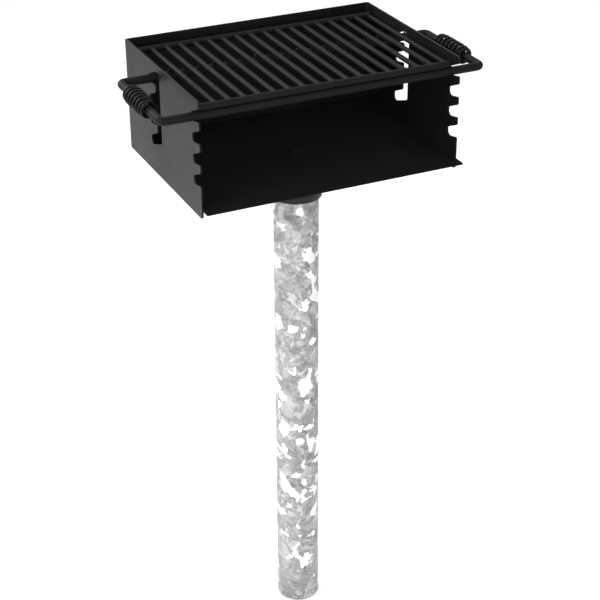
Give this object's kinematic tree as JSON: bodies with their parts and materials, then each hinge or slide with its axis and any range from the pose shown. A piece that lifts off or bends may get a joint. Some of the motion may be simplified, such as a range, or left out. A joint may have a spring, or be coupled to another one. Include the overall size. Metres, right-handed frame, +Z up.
{
  "type": "park barbecue grill on a post",
  "caption": "Open-front steel firebox that turns on a galvanized pipe post, with a height-set bar grate on a rod loop and coiled-wire grips.",
  "frame": {"origin": "centre of the post's foot", "axes": "+Z up the post, the open front of the firebox faces -Y, +X to the right of a cook's view from the back"},
  "size_m": [0.6692, 0.39, 1.2485],
  "materials": {
    "galvanized": "hot-dip galvanized, spangled",
    "black_enamel": "satin black high-heat paint",
    "black_rod": "satin black high-heat paint on round bar",
    "weld": "painted weld bead",
    "spring_wire": "satin black coiled wire",
    "black_bolt": "satin black dome-head bolt",
    "zinc": "zinc-plated fastener",
    "bronze": "plain bearing bronze"
  },
  "bodies": {
    "post": {"post_tube": "galvanized", "post_cap_plate": "galvanized", "cap_weld": "weld", "thrust_washer": "bronze"},
    "firebox": {"swivel_base_plate": "black_enamel", "swivel_collar": "black_enamel", "collar_welds": "weld", "floor_plate": "black_enamel", "left_wall": "black_enamel", "right_wall": "black_enamel", "back_wall": "black_enamel", "floor_welds": "weld", "corner_welds": "weld", "pivot_bolt": "black_bolt", "nut_washer": "zinc", "lock_nut": "zinc"},
    "grate": {"support_rod": "black_rod", "rod_butt_weld": "weld", "front_cross_bar": "black_rod", "rear_cross_bar": "black_rod", "cooking_bar_01": "black_rod", "cooking_bar_02": "black_rod", "cooking_bar_03": "black_rod", "cooking_bar_04": "black_rod", "cooking_bar_05": "black_rod", "cooking_bar_06": "black_rod", "cooking_bar_07": "black_rod", "cooking_bar_08": "black_rod", "cooking_bar_09": "black_rod", "cooking_bar_10": "black_rod", "cooking_bar_11": "black_rod", "cooking_bar_12": "black_rod", "cooking_bar_13": "black_rod", "cooking_bar_14": "black_rod", "cooking_bar_15": "black_rod", "cooking_bar_16": "black_rod", "cooking_bar_17": "black_rod", "cooking_bar_18": "black_rod", "bar_welds": "weld", "front_rod_welds": "weld", "rear_rod_welds": "weld"},
    "grip_left": {"spring_grip_left": "spring_wire"},
    "grip_right": {"spring_grip_right": "spring_wire"}
  },
  "joints": [
    {"name": "swivel", "type": "hinge", "parent": "post", "child": "firebox", "pos_m": [0, 0, 0.96], "axis": [0, 0, 1], "continuous": true},
    {"name": "grate_pull", "type": "slide", "parent": "firebox", "child": "grate", "axis": [0, -0.9511, 0.309], "range_m": [0, 0.0357]},
    {"name": "grip_left_spin", "type": "hinge", "parent": "grate", "child": "grip_left", "pos_m": [-0.316, -0.0311, 1.21481], "axis": [0, 1, 0], "continuous": true},
    {"name": "grip_right_spin", "type": "hinge", "parent": "grate", "child": "grip_right", "pos_m": [0.316, -0.0311, 1.21481], "axis": [0, 1, 0], "continuous": true}
  ]
}
